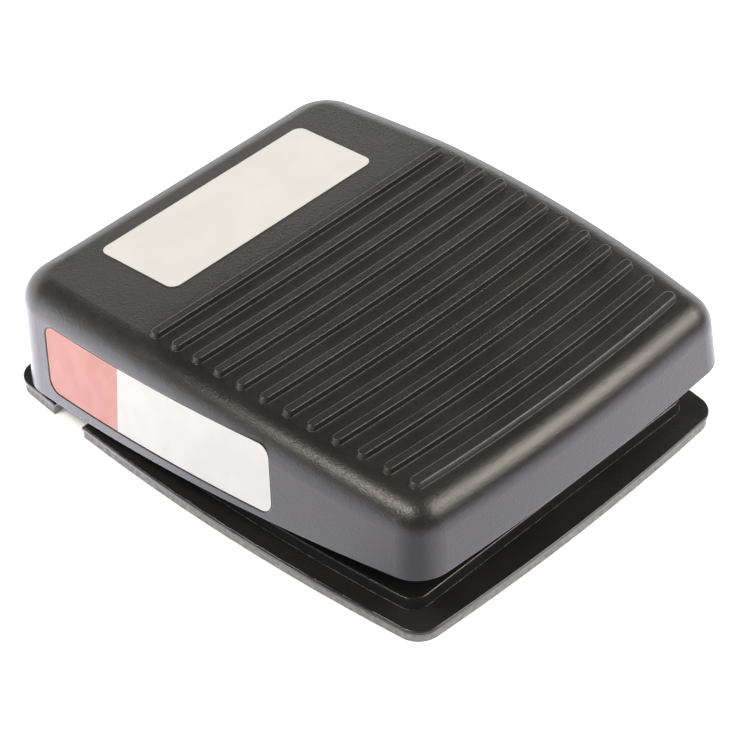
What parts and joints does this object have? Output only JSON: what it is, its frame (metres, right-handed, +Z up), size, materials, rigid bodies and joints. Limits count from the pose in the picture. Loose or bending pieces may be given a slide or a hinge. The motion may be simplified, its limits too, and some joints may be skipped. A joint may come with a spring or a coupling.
{
  "type": "foot switch",
  "caption": "Low electrical foot switch: a hinged ribbed treadle cover over a plated base with a rubber mat, a return spring and a snap-action switch inside.",
  "frame": {"origin": "on the floor, in the middle of the flat rubber underside, under the middle of the base", "axes": "+Z up, +Y towards the hinged rear end with the cable inlet, -Y towards the free end that the toe presses, X across the pedal"},
  "size_m": [0.1084, 0.1275, 0.0375],
  "materials": {
    "cover_black": "moulded, fine spark-eroded grain, semi-gloss",
    "plate_black": "smooth black enamel on pressed steel",
    "pad_rubber": "cut rubber sheet, pale speckled edge",
    "label_silver": "blank silver-white film",
    "label_side": "blank white film with an orange-pink zone",
    "zinc_steel": "zinc plated",
    "bright_steel": "turned steel",
    "spring_steel": "drawn spring steel",
    "nylon_black": "moulded nylon",
    "brass_terminal": "stamped brass",
    "fibre_card": "vulcanised fibre sheet",
    "case_black": "phenolic moulding",
    "plunger_red": "moulded",
    "copper_blade": "beryllium copper strip",
    "silver_contact": "silver alloy",
    "bumper_rubber": "moulded rubber"
  },
  "bodies": {
    "base": {"base_plate": "plate_black", "base_pad": "pad_rubber", "hinge_pins": "bright_steel", "pin_clips": "spring_steel", "inlet_bushing": "nylon_black", "cord_saddle": "zinc_steel", "saddle_screws": "zinc_steel", "earth_screw": "brass_terminal", "earth_washer": "brass_terminal", "switch_bracket": "zinc_steel", "bracket_rivets": "bright_steel", "insulator_card": "fibre_card", "switch_case": "case_black", "switch_lid": "case_black", "switch_screws": "zinc_steel", "switch_nuts": "zinc_steel", "terminal_common": "brass_terminal", "terminal_closed": "brass_terminal", "terminal_open": "brass_terminal", "terminal_screws": "bright_steel", "contact_blade": "copper_blade", "fixed_contacts": "silver_contact", "return_spring": "spring_steel", "spring_seat": "bright_steel", "stop_bumpers": "bumper_rubber"},
    "treadle": {"treadle_cover": "cover_black", "rating_label": "label_silver", "side_label": "label_side", "actuator_screw": "zinc_steel", "actuator_nut": "zinc_steel"},
    "plunger": {"switch_plunger": "plunger_red"}
  },
  "joints": [
    {"name": "treadle_hinge", "type": "hinge", "parent": "base", "child": "treadle", "pos_m": [0, 0.0443, 0.0095], "axis": [1, 0, 0], "range_deg": [0, 7], "stiffness_Nm_per_rad": 8, "springref_deg": -3.44, "deforming": ["return_spring"]},
    {"name": "plunger_slide", "type": "slide", "parent": "base", "child": "plunger", "axis": [0, 0, -1], "range_m": [0, 0.0029]}
  ],
  "couplings": [
    {"joint": "plunger_slide", "follows": "treadle_hinge", "m_per_rad": 0.0235}
  ]
}
